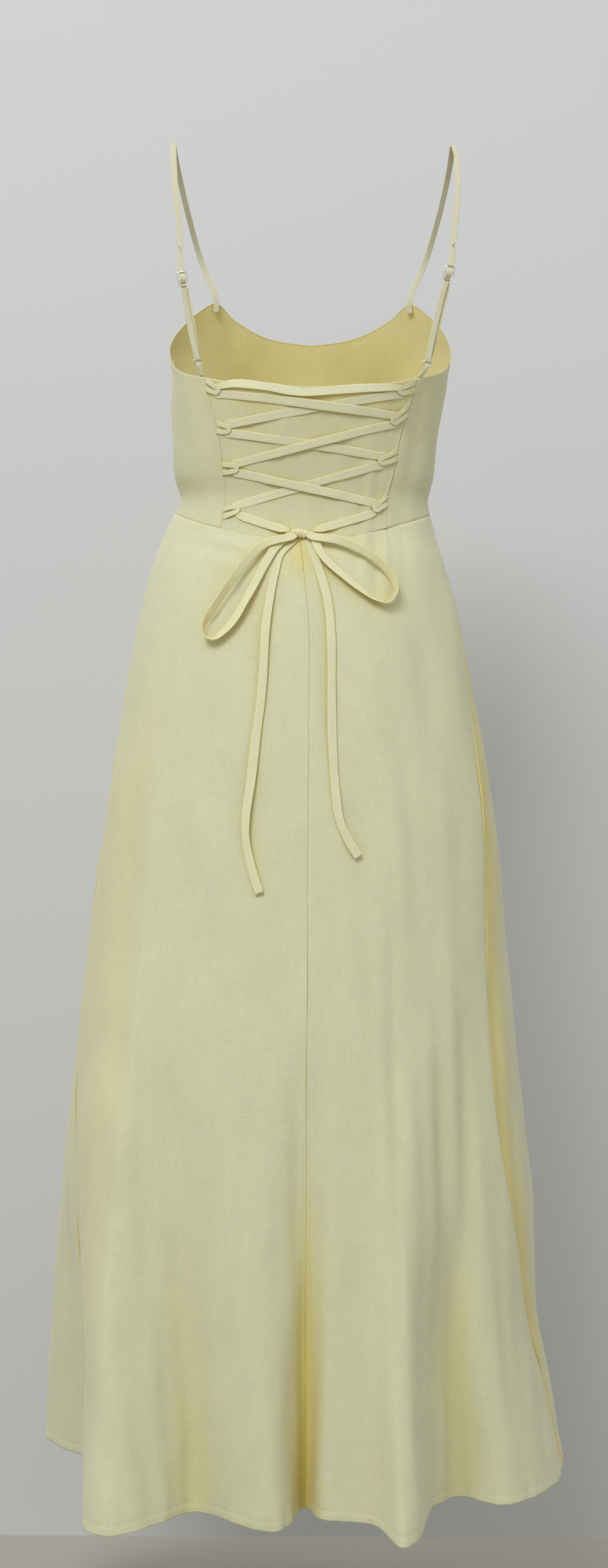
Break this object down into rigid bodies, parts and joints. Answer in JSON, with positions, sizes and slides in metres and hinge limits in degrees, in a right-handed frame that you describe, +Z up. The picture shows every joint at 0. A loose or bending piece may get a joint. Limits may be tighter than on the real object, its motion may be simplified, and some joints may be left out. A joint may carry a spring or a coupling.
{
  "type": "maxi dress",
  "caption": "Sleeveless linen maxi dress, worn and hollow, with a fitted princess-seamed bodice, thin adjustable straps, a laced back with a bow and a flared panelled skirt.",
  "frame": {"origin": "midway between the tops of the two shoulder straps, where the wearer's shoulders carry them", "axes": "+Z up, front of the dress towards -Y, wearer's left towards +X"},
  "size_m": [0.5436, 0.5016, 1.3779],
  "materials": {
    "cloth": "pale butter-yellow plain-weave linen, matte",
    "strap_cloth": "tube straps of the same linen, pressed flat",
    "tie_cloth": "flat folded tie and loops of the same linen",
    "metal": "small bright sliders and rings"
  },
  "bodies": {
    "root": {"bodice_centre_back": "cloth", "bodice_side_back_left": "cloth", "bodice_side_back_right": "cloth", "bodice_front": "cloth", "skirt_back_left": "cloth", "skirt_back_right": "cloth", "skirt_front": "cloth", "strap_left": "strap_cloth", "strap_right": "strap_cloth", "strap_tab_left": "strap_cloth", "strap_tab_right": "strap_cloth", "slider_left": "metal", "slider_right": "metal", "ring_left": "metal", "ring_right": "metal", "lace_loop_left_1": "tie_cloth", "lace_loop_left_2": "tie_cloth", "lace_loop_left_3": "tie_cloth", "lace_loop_left_4": "tie_cloth", "lace_loop_right_1": "tie_cloth", "lace_loop_right_2": "tie_cloth", "lace_loop_right_3": "tie_cloth", "lace_loop_right_4": "tie_cloth", "lace_top_bar": "tie_cloth", "lace_pair_1_over": "tie_cloth", "lace_pair_1_under": "tie_cloth", "lace_pair_2_over": "tie_cloth", "lace_pair_2_under": "tie_cloth", "lace_pair_3_over": "tie_cloth", "lace_pair_3_under": "tie_cloth", "lace_to_knot_left": "tie_cloth", "lace_to_knot_right": "tie_cloth", "lace_knot": "tie_cloth", "bow_loop_left": "tie_cloth", "bow_loop_right": "tie_cloth", "tail_left": "tie_cloth", "tail_right": "tie_cloth"}
  },
  "joints": []
}
